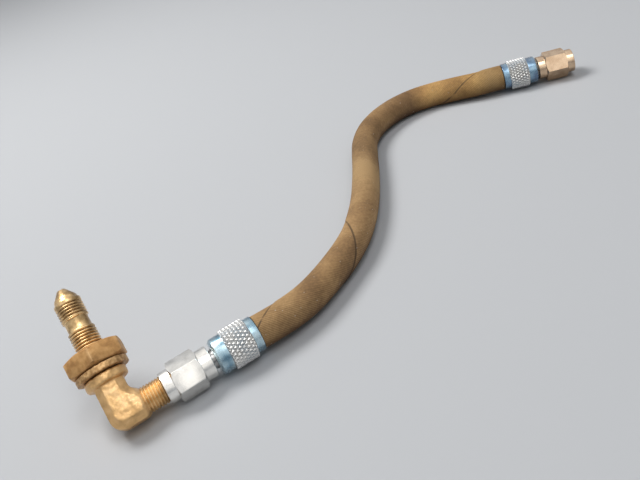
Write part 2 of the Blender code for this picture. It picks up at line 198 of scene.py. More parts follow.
# The bulkhead arm's turned lengths, from the same crossing.
SHOULDER_START = 10.9 * MM
SHOULDER_LENGTH = 3.4 * MM
SHOULDER_D = 14.8 * MM
SHOULDER_ROUND = 1.1 * MM
SHOULDER_EDGE = 0.25 * MM
ARM_RELIEF_START = 31.5 * MM
ARM_RELIEF_LENGTH = 4.5 * MM
ARM_RELIEF_D = 8.3 * MM
ARM_THREAD_END = 42.6 * MM
ARM_THREAD_LEAD = 0.9 * MM

# The washer and the locknut on that arm.
WASHER_D = 18.4 * MM
WASHER_THICKNESS = 2.3 * MM
WASHER_EDGE = 0.35 * MM
WASHER_SIDES = 160
WASHER_LUMP = 1.1 * MM
WASHER_LUMP_DEPTH = 0.25 * MM
LOCKNUT_FLATS = 19.05 * MM
LOCKNUT_HEIGHT = 6.6 * MM
LOCKNUT_FACE_D = 17.6 * MM
LOCKNUT_CHAMFER = math.radians(24)
LOCKNUT_TURN = math.radians(56.4)
LOCKNUT_SIDES = 120
LOCKNUT_SOFTENING = 0.25 * MM

# Places along a fitting's axis, measured outwards from the hose's cut end.
SOCKET_RIM = CLEAR
SOCKET_FRONT = SOCKET_RIM + SOCKET_LENGTH
NUT_REAR = SOCKET_FRONT + NUT_GAP
NUT_MOUTH = NUT_REAR + NUT_LENGTH
NUT_SEAT = NUT_MOUTH - NUT_THREAD_DEPTH
HEAD_BACK = NUT_SEAT + CLEAR
HEAD_FACE = HEAD_BACK + HEAD_LENGTH
ELBOW_CROSSING = NUT_MOUTH + NUT_MOUTH_TO_AXIS

# Places along the elbow's arms, measured from their crossing.
FLARE_SHIFT = CLEAR / math.sin(FLARE_ANGLE)
NOSE_PAST_FLARE = (NOSE_BASE_D - FLARE_D) / 2 / math.tan(FLARE_ANGLE)
HOSE_NOSE_BASE = ELBOW_CROSSING - HEAD_FACE - FLARE_SHIFT + NOSE_PAST_FLARE
NOSE_LENGTH = (NOSE_BASE_D - NOSE_TIP_D) / 2 / math.tan(FLARE_ANGLE)
SHOULDER_FACE = SHOULDER_START + SHOULDER_LENGTH
WASHER_START = SHOULDER_FACE + CLEAR
LOCKNUT_START = WASHER_START + WASHER_THICKNESS + CLEAR
LOCKNUT_END = LOCKNUT_START + LOCKNUT_HEIGHT
ARM_NOSE_BASE = ARM_THREAD_END + NOSE_LAND

# Where the fittings stand in the frame: the far socket's box gives the plan's shift.
far_low, far_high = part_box("far_socket")
AXIS_HEIGHT = (far_low[2] + far_high[2]) / 2
FAR_PLACE = Matrix.Translation((far_low[0] - SOCKET_RIM, (far_low[1] + far_high[1]) / 2, AXIS_HEIGHT))
FAR_NUT_PLACE = FAR_PLACE @ Matrix.Translation((-FAR_NUT_SLIDE, 0, 0))
PLAN_SHIFT = FAR_PLACE.translation - Vector((*FAR_END, AXIS_HEIGHT))
NEAR_PLACE = Matrix.Translation(Vector((*NEAR_END, AXIS_HEIGHT)) + PLAN_SHIFT) @ Matrix.Rotation(
    NEAR_AZIMUTH, 4, "Z"
)
ELBOW_PLACE = (
    NEAR_PLACE
    @ Matrix.Translation((ELBOW_CROSSING, 0, 0))
    @ Matrix.Rotation(math.pi, 4, "Z")
    @ Matrix.Rotation(ARM_SLANT - math.pi / 2, 4, "X")
)
ARM_PLACE = ELBOW_PLACE @ Matrix.Rotation(-math.pi / 2, 4, "Y")

# The photograph's view, from the surface under the elbow's crossing.
CAMERA_FROM_ELBOW = (107.88 * MM, -157.69 * MM, 166.65 * MM)
CAMERA_TURN = (math.radians(60.417), math.radians(16.38), math.radians(1.402))
CAMERA_LENS = 39.38
CAMERA_SENSOR = 36
CAMERA_SHIFT = (0.0441, -0.1068)

# The studio: a pale floor under a sky that is palest overhead.
FLOOR_COLOUR = (0.56, 0.58, 0.61, 1)
FLOOR_SIZE = 16
SKY_LOW = (0.32, 0.34, 0.37)
SKY_HIGH = (1.0, 1.0, 1.0)
SKY_LIGHT = 0.2

# Each lamp's name, place in metres, width in metres, power in watts and colour.
LAMPS = (
    ("window", (-0.5, 0.23, 0.88), 0.45, 7.6, (1.0, 0.98, 0.95)),
    ("overhead", (0.30, -0.36, 1.16), 0.7, 3.4, (1.0, 1.0, 1.0)),
    ("strip", (0.21, -0.05, 1.2), 0.2, 0.8, (1.0, 1.0, 1.0)),
    ("front", (0.86, -1.48, 1.06), 0.8, 1.1, (1.0, 0.96, 0.9)),
)


class Field:
    """A socket of a material, so that shader maths reads as an expression."""

    def __init__(self, shading, socket):
        self.shading = shading
        self.socket = socket

    def maths(self, operation, *values):
        return self.shading.node("ShaderNodeMath", {"operation": operation}, dict(enumerate(values)))

    def __add__(self, other):
        return self.maths("ADD", self, other)

    def __radd__(self, other):
        return self.maths("ADD", other, self)

    def __sub__(self, other):
        return self.maths("SUBTRACT", self, other)

    def __rsub__(self, other):
        return self.maths("SUBTRACT", other, self)

    def __mul__(self, other):
        return self.maths("MULTIPLY", self, other)

    def __truediv__(self, other):
        return self.maths("DIVIDE", self, other)

    def __pow__(self, other):
        return self.maths("POWER", self, other)

    def wave(self):
        """A sine that repeats each time this value grows by 1."""
        return self.maths("SINE", self * (2 * math.pi))

    def ridge(self):
        """Round ridges with narrow valleys, one each time this value grows by 1."""
        return self.maths("ABSOLUTE", self.maths("SINE", self * math.pi))

    def wrapped(self):
        return self.maths("FRACT", self)

    def whole(self):
        return self.maths("FLOOR", self)


class Shading:
    """A tree of shader nodes, with the few patterns that the finishes are made of."""

    def __init__(self, tree):
        self.tree = tree

    def node(self, kind, settings, inputs, output=0):
        """Adds a node: its settings first, then the values and links of its sockets."""
        made = self.tree.nodes.new(kind)
        for key, value in settings.items():
            if key == "stops":
                self.set_stops(made.color_ramp, value)
            else:
                setattr(made, key, value)
        for key, value in inputs.items():
            if isinstance(value, Field):
                self.tree.links.new(value.socket, made.inputs[key])
            elif made.inputs[key].type == "RGBA":
                made.inputs[key].default_value = (*value, 1)
            else:
                made.inputs[key].default_value = value
        return Field(self, made.outputs[output])

    def set_stops(self, ramp, stops):
        for place, colour in stops[2:]:
            ramp.elements.new(place)
        for element, (place, colour) in zip(ramp.elements, stops):
            element.position = place
            element.color = (*colour, 1)

    def attribute(self, name, output="Fac"):
        return self.node("ShaderNodeAttribute", {"attribute_name": name}, {}, output)

    def local(self):
        """The piece's own coordinates in millimetres, along X on a turned piece."""
        return self.attribute("local", "Vector")

    def parts(self, vector):
        return [self.node("ShaderNodeSeparateXYZ", {}, {0: vector}, axis) for axis in "XYZ"]

    def vector(self, x, y, z):
        return self.node("ShaderNodeCombineXYZ", {}, {0: x, 1: y, 2: z})

    def stretched(self, vector, scale):
        return self.node("ShaderNodeVectorMath", {"operation": "MULTIPLY"}, {0: vector, 1: scale})

    def speckle(self, vector, scale, detail=3.0, roughness=0.5):
        settings = {"Vector": vector, "Scale": scale, "Detail": detail, "Roughness": roughness}
        return self.node("ShaderNodeTexNoise", {}, settings)

    def between(self, value, low, high):
        """0 below low, 1 above high, and smooth between the two."""
        settings = {"interpolation_type": "SMOOTHSTEP"}
        return self.node("ShaderNodeMapRange", settings, {0: value, 1: low, 2: high})

    def blend(self, factor, first, second):
        return self.node("ShaderNodeMix", {"data_type": "RGBA"}, {0: factor, 6: first, 7: second}, 2)

    def multiply(self, first, second):
        settings = {"data_type": "RGBA", "blend_type": "MULTIPLY"}
        return self.node("ShaderNodeMix", settings, {0: 1.0, 6: first, 7: second}, 2)

    def ramp(self, factor, *stops):
        return self.node("ShaderNodeValToRGB", {"stops": stops}, {0: factor})

    def bump(self, height, depth):
        """Height is in units of depth, which is in metres."""
        return self.node("ShaderNodeBump", {}, {"Height": height, "Distance": depth})


class Look(Shading):
    """A finish: its Principled shader, what is the same all over it, and what varies over it."""

    def __init__(self, slot, **fixed):
        self.slot = slot
        self.material = bpy.data.materials.new(slot + "_look")
        self.material.use_nodes = True
        super().__init__(self.material.node_tree)
        self.shader = self.tree.nodes["Principled BSDF"]
        for socket, value in fixed.items():
            self.shader.inputs[socket.replace("_", " ")].default_value = value

    def feed(self, **links):
        for socket, field in links.items():
            self.tree.links.new(field.socket, self.shader.inputs[socket.replace("_", " ")])


def forged_brass():
    """Tan skin with stains and fine grain, smoother where it is turned, and grime with painted shade in the
    thread's roots.
    """
    look = Look("forged_brass", Metallic=0.85, Coat_Weight=0.3, Coat_Roughness=0.14)
    local = look.local()
    stain = look.speckle(local, 0.25)
    grain = look.speckle(local, 3.0)
    turned = look.attribute("turned")
    root = look.attribute("root")
    tarnish = look.speckle(local, 0.22, 2.0)
    skin = look.ramp(
        stain,
        (0.34, (0.56, 0.34, 0.14)),
        (0.5, (0.73, 0.46, 0.20)),
        (0.68, (0.84, 0.56, 0.28)),
    )
    bronzed = look.ramp(tarnish, (0.4, (0.38, 0.24, 0.10)), (0.56, (0.80, 0.55, 0.27)))
    lathed = look.blend(turned, skin, bronzed)
    look.feed(
        # Darker in the thread's roots: grime, and painted shade in the grooves.
        Base_Color=look.blend(look.between(root, 0.3, 1.0), lathed, (0.27, 0.165, 0.08)),
        Roughness=0.5 - turned * 0.2 + (grain - 0.5) * 0.3,
        Normal=look.bump(grain * (1.2 - turned), 0.04 * MM),
    )
    return look


def nut_brass():
    """Dull brown tarnish over the flats, worn lighter at the corners, which also paints a highlight there.
    """
    look = Look("nut_brass", Metallic=0.6)
    local = look.local()
    x, y, z = look.parts(local)
    radius = (y * y + z * z) ** 0.5
    corner = LOCKNUT_FLATS / MM / math.sqrt(3)
    stain = look.speckle(local, 0.4)
    grain = look.speckle(local, 4.0)
    # Lighter near the hex's corners: partly wear, partly a painted highlight on the edges.
    rubbed_and_lit = look.between(radius + stain, corner - 0.1, corner + 0.6) * 0.5
    skin = look.ramp(
        stain,
        (0.34, (0.42, 0.22, 0.08)),
        (0.5, (0.56, 0.31, 0.115)),
        (0.68, (0.66, 0.39, 0.16)),
    )
    look.feed(
        Base_Color=look.blend(rubbed_and_lit, skin, (0.72, 0.49, 0.25)),
        Roughness=0.55 + (grain - 0.5) * 0.4,
        Normal=look.bump(grain, 0.05 * MM),
    )
    return look


def washer_brass():
    """A coarse rim, brown in its pits and bright on what stands up."""
    look = Look("washer_brass", Metallic=0.75)
    local = look.local()
    grain = look.speckle(local, 0.9, 2.0)
    pitted = look.ramp(
        grain,
        (0.36, (0.36, 0.2, 0.08)),
        (0.5, (0.50, 0.3, 0.13)),
        (0.66, (0.68, 0.44, 0.21)),
    )
    look.feed(
        Base_Color=pitted,
        Roughness=0.45 + (grain - 0.5) * 0.4,
        Normal=look.bump(grain, 0.05 * MM),
    )
    return look


def turned_metal(slot, dark, light):
    """Fine tool marks round the axis, and faint smudges of handling."""
    look = Look(slot, Metallic=1.0)
    local = look.local()
    marks = look.speckle(look.stretched(local, (7.0, 0.35, 0.35)), 1.0)
    smudge = look.speckle(local, 0.3, 2.0)
    look.feed(
        Base_Color=look.ramp(smudge, (0.36, dark), (0.62, light)),
        Roughness=0.22 + (marks - 0.5) * 0.16 + (smudge - 0.5) * 0.14,
        Normal=look.bump(marks, 0.008 * MM),
    )
    return look


def blue_anodised(slot, deep, pale, wear):
    """Blue over aluminium, worn through on the knurl's crests, with grime and painted shade between them."""
    look = Look(slot, Metallic=1.0, Coat_Weight=1.0, Coat_IOR=2.0, Coat_Roughness=0.16)
    local = look.local()
    knurl = look.attribute("knurl")
    crest = look.attribute("crest")
    patch = look.speckle(local, 0.2, 2.0)
    grain = look.speckle(local, 2.5)
    blue = look.ramp(patch, (0.34, deep), (0.7, pale))
    bare = look.ramp(grain, (0.36, (0.42, 0.42, 0.41)), (0.62, (0.58, 0.57, 0.55)))
    # Bare on the crests where worn through; the grooves' grey is grime with painted shade.
    rubbed_and_lit = look.between(crest + (patch - 0.5) * 0.8 + (wear - 0.5), 0.15, 0.75)
    groove = look.blend(look.between(patch, 0.4, 0.6), (0.25, 0.29, 0.32), (0.31, 0.30, 0.28))
    look.feed(
        Base_Color=look.blend(knurl, blue, look.blend(rubbed_and_lit, groove, bare)),
        Roughness=0.26 + (grain - 0.5) * 0.2 + knurl * 0.12,
        Normal=look.bump(grain, 0.01 * MM),
    )
    return look


def hose_cloth():
    """Dusty brown tape: ribs across it with painted shade in their valleys, warp threads along it, a dark
    line along each turn's raised edge, stains, and painted shade on its lower side.
    """
    look = Look("hose_cloth", Specular_IOR_Level=0.25)
    laid = look.node("ShaderNodeUVMap", {"uv_map": "laid"}, {})
    around, along = look.parts(laid)[:2]
    local = look.local()
    girth = math.pi * HOSE_D / MM
    turns = (along - TAPE_EDGE_AT) / TAPE_PITCH + around - TAPE_EDGE_TURN
    across = turns.wrapped()
    ribs = (along * math.cos(TAPE_ANGLE) / (girth * math.sin(TAPE_ANGLE)) - around) * RIBS_ROUND
    threads = turns * WARPS_ROUND + ribs / 3
    weave = ribs.ridge() * (0.8 + threads.wave() * 0.2)
    stain = look.speckle(local, 0.06, 4.0)
    fleck = look.speckle(local, 0.9)
    turn_tone = look.speckle(look.vector(turns.whole() * 3.7, 0.0, 0.0), 1.0, 0.0)
    tone = stain * 0.55 + fleck * 0.2 + turn_tone * 0.25
    cloth = look.ramp(
        tone,
        (0.40, (0.25, 0.150, 0.075)),
        (0.5, (0.38, 0.234, 0.113)),
        (0.60, (0.52, 0.335, 0.165)),
    )
    faded = look.multiply(cloth, look.ramp(along / HOSE_RUN, *HOSE_FADING))
    # Painted shade: the hose's lower side is made darker than its top.
    underside_painted_shade = look.multiply(faded, (0.38, 0.35, 0.34))
    with_painted_underside_shade = look.blend(look.between(around.wave(), -0.7, 0.3), underside_painted_shade, faded)
    # Painted shade in the weave's valleys between the ribs.
    valley_painted_shade = look.multiply(with_painted_underside_shade, (0.68, 0.66, 0.65))
    woven = look.blend(look.between(weave, 0.0, 0.7), valley_painted_shade, with_painted_underside_shade)
    edge = 1 - look.between(across.maths("PINGPONG", across, 0.5), 0.004, 0.018)
    from_flush = along.maths("ABSOLUTE", along - TAPE_FLUSH_AT)
    raised = look.between(from_flush, TAPE_FLUSH, TAPE_FLUSH + TAPE_FLUSH_FADE)
    # A dark, patchy line along the tape's edge, only where the edge stands up off the flush middle.
    dark_edge_line = edge * raised * look.between(look.speckle(local, 0.15), 0.3, 0.45)
    lint = look.between(look.speckle(local, 1.1, 1.0), 0.76, 0.79)
    look.feed(
        Base_Color=look.blend(lint, look.blend(dark_edge_line * 0.8, woven, (0.06, 0.04, 0.025)), (0.62, 0.57, 0.48)),
        Roughness=0.8 + (fleck - 0.5) * 0.3,
        Normal=look.bump(weave + fleck * 0.5, 0.03 * MM),
    )
    return look


def select_only(obj):
    bpy.ops.object.select_all(action="DESELECT")
    obj.select_set(True)
    bpy.context.view_layer.objects.active = obj


def apply_modifier(obj, kind, **settings):
    select_only(obj)
    change = obj.modifiers.new(kind.lower(), kind)
    for key, value in settings.items():
        setattr(change, key, value)
    bpy.ops.object.modifier_apply(modifier=change.name)


def join(obj, *others):
    select_only(obj)
    for other in others:
        other.select_set(True)
    bpy.ops.object.join()


def lathe(name, outline, sides=TURNED_SIDES):
    """Turns an outline of (place along X, radius) points about X, a circle drawn from point to point."""
    x, radius = outline[0]
    bpy.ops.object.select_all(action="DESELECT")
    bpy.ops.mesh.primitive_circle_add(
        vertices=sides, radius=radius, location=(x, 0, 0), rotation=(0, math.pi / 2, 0)
    )
    obj = bpy.context.object
    obj.name = name
    bpy.ops.object.transform_apply(location=True, rotation=True, scale=True)
    bpy.ops.object.mode_set(mode="EDIT")
    bpy.ops.mesh.select_all(action="SELECT")
    for next_x, next_radius in outline[1:]:
        bpy.ops.mesh.extrude_region_move(TRANSFORM_OT_translate={"value": (next_x - x, 0, 0)})
        factor = next_radius / radius
        bpy.ops.transform.resize(value=(1, factor, factor), center_override=(next_x, 0, 0))
        x, radius = next_x, next_radius
    bpy.ops.mesh.select_all(action="DESELECT")
    bpy.ops.mesh.select_mode(type="EDGE")
    bpy.ops.mesh.select_non_manifold()
    bpy.ops.mesh.bridge_edge_loops()
    bpy.ops.mesh.select_all(action="SELECT")
    bpy.ops.mesh.normals_make_consistent(inside=False)
    bpy.ops.object.mode_set(mode="OBJECT")
    return obj


def block(name, halves):
    """A rectangular block round the origin."""
    bpy.ops.object.select_all(action="DESELECT")
    bpy.ops.mesh.primitive_cube_add(size=2, scale=halves)
    obj = bpy.context.object
    obj.name = name
    bpy.ops.object.transform_apply(location=True, rotation=True, scale=True)
    return obj


def pull_face(obj, centre, move):
    """Extrudes the face that has that centre."""
    select_only(obj)
    bpy.ops.object.mode_set(mode="EDIT")
    bpy.ops.mesh.select_mode(type="FACE")
    bpy.ops.mesh.select_all(action="DESELECT")
    bpy.ops.object.mode_set(mode="OBJECT")
    face = min(obj.data.polygons, key=lambda face: (face.center - Vector(centre)).length)
    face.select = True
    bpy.ops.object.mode_set(mode="EDIT")
    bpy.ops.mesh.extrude_region_move(TRANSFORM_OT_translate={"value": move})
    bpy.ops.object.mode_set(mode="OBJECT")


def bevel_edges(obj, width, segments, chosen):
    """Bevels the edges whose two ends satisfy chosen."""
    select_only(obj)
    bpy.ops.object.mode_set(mode="EDIT")
    bpy.ops.mesh.select_mode(type="EDGE")
    bpy.ops.mesh.select_all(action="DESELECT")
    bpy.ops.object.mode_set(mode="OBJECT")
    for edge in obj.data.edges:
        edge.select = chosen(*[obj.data.vertices[i].co for i in edge.vertices])
    bpy.ops.object.mode_set(mode="EDIT")
    bpy.ops.mesh.bevel(offset=width, segments=segments, affect="EDGES")
    bpy.ops.object.mode_set(mode="OBJECT")


def cut_to_hex(obj, start, end, flats, turn):
    """Cuts a turned blank to six flats, with a corner at angle turn from the Y axis."""
    bpy.ops.object.select_all(action="DESELECT")
    bpy.ops.mesh.primitive_cylinder_add(
        vertices=6,
        radius=flats / math.sqrt(3),
        depth=end - start + 2 * MM,
        location=((start + end) / 2, 0, 0),
        rotation=(0, math.pi / 2, 0),
    )
    flat_sides = bpy.context.object
    bpy.ops.object.transform_apply(location=True, rotation=True, scale=True)
    flat_sides.data.transform(Matrix.Rotation(turn, 4, "X"))
    apply_modifier(obj, "BOOLEAN", operation="INTERSECT", object=flat_sides)
    bpy.data.objects.remove(flat_sides)


def soften_edges(obj, width):
    apply_modifier(obj, "BEVEL", width=width, segments=2, limit_method="ANGLE", angle_limit=math.radians(28))


def roughen(obj, lump, depth, weigh):
    """Lifts and sinks the surface by lumps of a size, as much as weigh allows at each point."""
    texture = bpy.data.textures.new("lumps", "CLOUDS")
    texture.noise_scale = lump
    texture.noise_depth = 1
    group = obj.vertex_groups.new(name="lumps")
    for vertex in obj.data.vertices:
        group.add([vertex.index], weigh(vertex.co), "REPLACE")
    apply_modifier(
        obj,
        "DISPLACE",
        texture=texture,
        texture_coords="LOCAL",
        strength=depth,
        mid_level=0.5,
        vertex_group=group.name,
    )
    obj.vertex_groups.clear()


def mark(obj, name, values):
    """Keeps one number for each point, which a finish reads by its name."""
    keep = obj.data.attributes.new(name, "FLOAT", "POINT")
    for spot, value in zip(keep.data, values):
        spot.value = value


def finish_piece(obj, place, look, body, *nodes, smooth=SMOOTH_TURNED):
    """Keeps the piece's own coordinates, sets it in its place, and hands it to the body that carries it."""
    keep = obj.data.attributes.new("local", "FLOAT_VECTOR", "POINT")
    for spot, vertex in zip(keep.data, obj.data.vertices):
        spot.vector = vertex.co / MM
    obj.data.transform(place)
    obj.data.materials.clear()
    obj.data.materials.append(look.material)
    select_only(obj)
    bpy.ops.object.shade_smooth_by_angle(angle=math.radians(smooth))
    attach(obj, body)
    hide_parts(*nodes)
    return obj


def ramp_in(value, start, full):
    return min(1.0, max(0.0, (value - start) / (full - start)))


def near_rings(start, end, radius):
    """Rings near enough together for a thread to be moved into them."""
    count = round((end - start) / (THREAD_PITCH / THREAD_STEPS))
    return [(start + (end - start) * i / count, radius) for i in range(count + 1)]


def cut_threads(obj, radius, *lengths):
    """Moves plain turned lengths of a radius to a helical thread, and returns each point's depth in it."""
    fade = THREAD_PITCH / 2
    grooves = []
    for vertex in obj.data.vertices:
        x, y, z = vertex.co
        groove = 0.0
        for start, end in lengths:
            if start < x < end and abs(math.hypot(y, z) - radius) < ON_RADIUS:
                phase = (x / THREAD_PITCH + math.atan2(z, y) / (2 * math.pi)) % 1.0
                groove = max(0.0, 1 - abs(phase - 0.5) / THREAD_FLANK)
                groove *= ramp_in(x, start, start + fade) * ramp_in(-x, -end, fade - end)
        factor = 1 - THREAD_DEPTH * groove / radius
        vertex.co.y = y * factor
        vertex.co.z = z * factor
        grooves.append(groove)
    return grooves


def cut_knurl(obj, start, end, root):
    """Raises truncated diamonds between two families of crossing grooves, and marks them for the finish."""
    heights, zone = [], []
    for vertex in obj.data.vertices:
        x, y, z = vertex.co
        height = 0.0
        knurled = start < x < end and math.hypot(y, z) > root - CLEAR
        if knurled:
            along = (x - start) / (end - start) * KNURL_ROWS
            around = math.atan2(z, y) / (2 * math.pi) * KNURL_ROUND
            one = 1 - 2 * abs((around + along) % 1 - 0.5)
            other = 1 - 2 * abs((around - along) % 1 - 0.5)
            height = min(1.0, min(one, other) * KNURL_STEEP)
            height *= ramp_in(x, start, start + KNURL_FADE) * ramp_in(-x, -end, KNURL_FADE - end)
            factor = 1 + KNURL_DEPTH * height / math.hypot(y, z)
            vertex.co.y = y * factor
            vertex.co.z = z * factor
        heights.append(height)
        zone.append(float(knurled))
    mark(obj, "crest", heights)
    mark(obj, "knurl", zone)


def socket_piece(name, place, look, node):
    """The knurled sleeve over the hose's end, with a plain rim and a chamfered plain band."""
    start = SOCKET_RIM + RIM_LENGTH
    end = start + KNURL_LENGTH
    tail_hole = TAIL_D / 2 + CLEAR
    neck_hole = NECK_D / 2 + CLEAR
    neck_stop = SOCKET_FRONT - NECK_IN_SOCKET - CLEAR
    root = KNURL_D / 2 - KNURL_DEPTH
    rim = RIM_D / 2
    band = BAND_D / 2
    outline = [
        (SOCKET_RIM, tail_hole),
        (SOCKET_RIM, rim - 0.35 * MM),
        (SOCKET_RIM + 0.12 * MM, rim - 0.1 * MM),
        (SOCKET_RIM + 0.4 * MM, rim),
        (start - 0.25 * MM, rim),
        (start, rim + 0.05 * MM),
    ]
    outline += [(start + KNURL_LENGTH * (i + 0.5) / KNURL_RINGS, root) for i in range(KNURL_RINGS)]
    outline += [
        (end, band + 0.05 * MM),
        (end + 0.25 * MM, band),
        (SOCKET_FRONT - BAND_CHAMFER - 0.1 * MM, band),
        (SOCKET_FRONT - BAND_CHAMFER + 0.15 * MM, band - 0.1 * MM),
        (SOCKET_FRONT - 0.15 * MM, band - BAND_CHAMFER + 0.1 * MM),
        (SOCKET_FRONT, band - BAND_CHAMFER - 0.1 * MM),
        (SOCKET_FRONT, neck_hole),
        (neck_stop, neck_hole),
        (neck_stop, tail_hole),
    ]
    obj = lathe(name, outline, sides=KNURL_ROUND * SIDES_PER_DIAMOND)
    cut_knurl(obj, start, end, root)
    return finish_piece(obj, place, look, "hose_assembly", node, smooth=SMOOTH_KNURL)


def nipple_piece(name, place, look, node):
    bore = NIPPLE_BORE / 2
    flare_depth = (FLARE_D - NIPPLE_BORE) / 2 / math.tan(FLARE_ANGLE)
    neck_start = SOCKET_FRONT - NECK_IN_SOCKET
    outline = [
        (SOCKET_RIM + TAIL_SHORT, bore),
        (HEAD_FACE - flare_depth, bore),
        (HEAD_FACE, FLARE_D / 2),
        (HEAD_FACE, HEAD_D / 2 - 0.15 * MM),
        (HEAD_FACE - 0.15 * MM, HEAD_D / 2),
        (HEAD_BACK, HEAD_D / 2),
        (HEAD_BACK, NECK_D / 2),
        (neck_start, NECK_D / 2),
        (neck_start, TAIL_D / 2),
        (SOCKET_RIM + TAIL_SHORT, TAIL_D / 2),
    ]
    return finish_piece(lathe(name, outline), place, look, "hose_assembly", node)


def swivel_nut_piece(place, look, body, node, turn, reach):
    """Two collars and a hexagon with chamfered corners, threaded inside up to the nipple's seat.

    The rear collar reaches further over the nipple by reach, as the photograph has it on the near nut.
    """
    rear = NUT_REAR - reach
    hex_start = NUT_REAR + NUT_REAR_COLLAR
    hex_end = hex_start + NUT_HEX
    corner = NUT_FLATS / math.sqrt(3)
    flat = NUT_FLATS / 2
    collar = NUT_COLLAR_D / 2
    slope = (corner - flat) * math.tan(NUT_CORNER_CHAMFER)
    neck_hole = NECK_D / 2 + CLEAR
    thread_hole = THREAD_D / 2 + CLEAR
    outline = [
        (NUT_MOUTH, collar - NUT_EDGE),
        (NUT_MOUTH - NUT_EDGE, collar),
        (hex_end + 0.2 * MM, collar),
        (hex_end, collar + 0.15 * MM),
        (hex_end, flat),
        (hex_end - slope, corner + CLEAR),
        (hex_start + slope, corner + CLEAR),
        (hex_start, flat),
        (hex_start, collar + 0.15 * MM),
        (hex_start - 0.2 * MM, collar),
        (rear + NUT_EDGE, collar),
        (rear, collar - NUT_EDGE),
        (rear, neck_hole),
        (NUT_SEAT, neck_hole),
        (NUT_SEAT, thread_hole),
    ]
    outline += near_rings(NUT_SEAT + 0.5 * MM, NUT_MOUTH - 0.7 * MM, thread_hole)
    outline += [(NUT_MOUTH - 0.5 * MM, thread_hole), (NUT_MOUTH, thread_hole + 0.2 * MM)]
    obj = lathe(node + "_visual", outline, sides=NUT_SIDES)
    cut_to_hex(obj, rear, NUT_MOUTH, NUT_FLATS, turn)
    soften_edges(obj, NUT_SOFTENING)
    cut_threads(obj, thread_hole, (HEAD_FACE + CLEAR, NUT_MOUTH - 0.6 * MM))
    return finish_piece(obj, place, look, body, node)


def forging_piece():
    """A block pulled out into an L, rounded, bevelled, and coned down to the hose arm's thread."""
    x = BULKHEAD_ARM_WIDTH / 2
    y = FORGING_DEPTH / 2
    z = HOSE_ARM_WIDTH / 2
    top = SHOULDER_START + 1 * MM
    past = HOSE_ARM_BLOCK + 3 * MM
    near = 0.01 * MM
    body = block("elbow", (x, y, z))
    pull_face(body, (0, 0, z), (0, 0, top - z))
    pull_face(body, (x, 0, 0), (past - x, 0, 0))
    bpy.ops.object.mode_set(mode="EDIT")
    bpy.ops.mesh.select_all(action="SELECT")
    bpy.ops.mesh.dissolve_limited(angle_limit=math.radians(1))
    bpy.ops.object.mode_set(mode="OBJECT")

    def along(corner):
        return lambda a, b: max((point.xz - Vector(corner)).length for point in (a, b)) < near

    def rim(a, b):
        on_flat = abs(a.y + b.y) > 2 * y - near
        return on_flat and min(a.x, b.x) < past - near and min(a.z, b.z) < top - near

    bevel_edges(body, FORGING_CORNER, 8, along((-x, -z)))
    bevel_edges(body, FORGING_FILLET, 6, along((x, z)))
    bevel_edges(body, FORGING_CHAMFER, 1, rim)
    cone_start = HOSE_ARM_BLOCK - HOSE_ARM_CONE
    cone_end = HOSE_ARM_BLOCK + 1 * MM
    thread = THREAD_D / 2
    inner = thread - 1 * MM
    outer = 2 * thread
    end = past + 1 * MM
    outline = [
        (cone_start, thread + HOSE_ARM_CONE),
        (cone_start, outer),
        (end, outer),
        (end, inner),
        (cone_end, inner),
    ]
    ring = lathe("ring", outline)
    apply_modifier(body, "BOOLEAN", operation="DIFFERENCE", object=ring)
    bpy.data.objects.remove(ring)
    return body


def shoulder_piece():
    """The round shoulder under the washer, rolled over at its lower edge."""
    rim = SHOULDER_D / 2
    inner = THREAD_D / 2 - 1 * MM
    outline = [(SHOULDER_START - 0.2 * MM, inner), (SHOULDER_START, rim - SHOULDER_ROUND)]
    for i in range(1, 7):
        angle = i * math.pi / 12
        x = SHOULDER_START + SHOULDER_ROUND * (1 - math.cos(angle))
        outline.append((x, rim - SHOULDER_ROUND * (1 - math.sin(angle))))
    outline += [
        (SHOULDER_FACE - SHOULDER_EDGE, rim),
        (SHOULDER_FACE, rim - SHOULDER_EDGE),
        (SHOULDER_FACE, inner),
    ]
    return stand_up(lathe("shoulder", outline))


def stand_up(obj):
    """Turns what was made along X to the bulkhead arm, along Z."""
    obj.data.transform(Matrix.Rotation(-math.pi / 2, 4, "Y"))
    return obj


def nose_rings(base, land):
    """A land of its own radius, rolled over to the flared nose, and the mouth of the bore."""
    tip = base + NOSE_LENGTH
    nose = NOSE_BASE_D / 2
    return [
        (base - NOSE_LAND + 0.3 * MM, land),
        (base - 0.9 * MM, land * 0.6 + nose * 0.4),
        (base - 0.4 * MM, land * 0.3 + nose * 0.7),
        (base, nose - 0.05 * MM),
        (tip - 0.15 * MM, NOSE_TIP_D / 2 + 0.1 * MM),
        (tip, NOSE_TIP_D / 2 - 0.1 * MM),
        (tip, ELBOW_BORE / 2),
        (base - BORE_SHOWN, ELBOW_BORE / 2),
    ]


def mark_stem(obj, grooves, turned):
    """Marks the grime and painted shade in the thread's roots, and how much of the lathe's smoothness is
    left.
    """
    mark(obj, "root", [groove * turned for groove in grooves])
    mark(obj, "turned", [turned] * len(grooves))


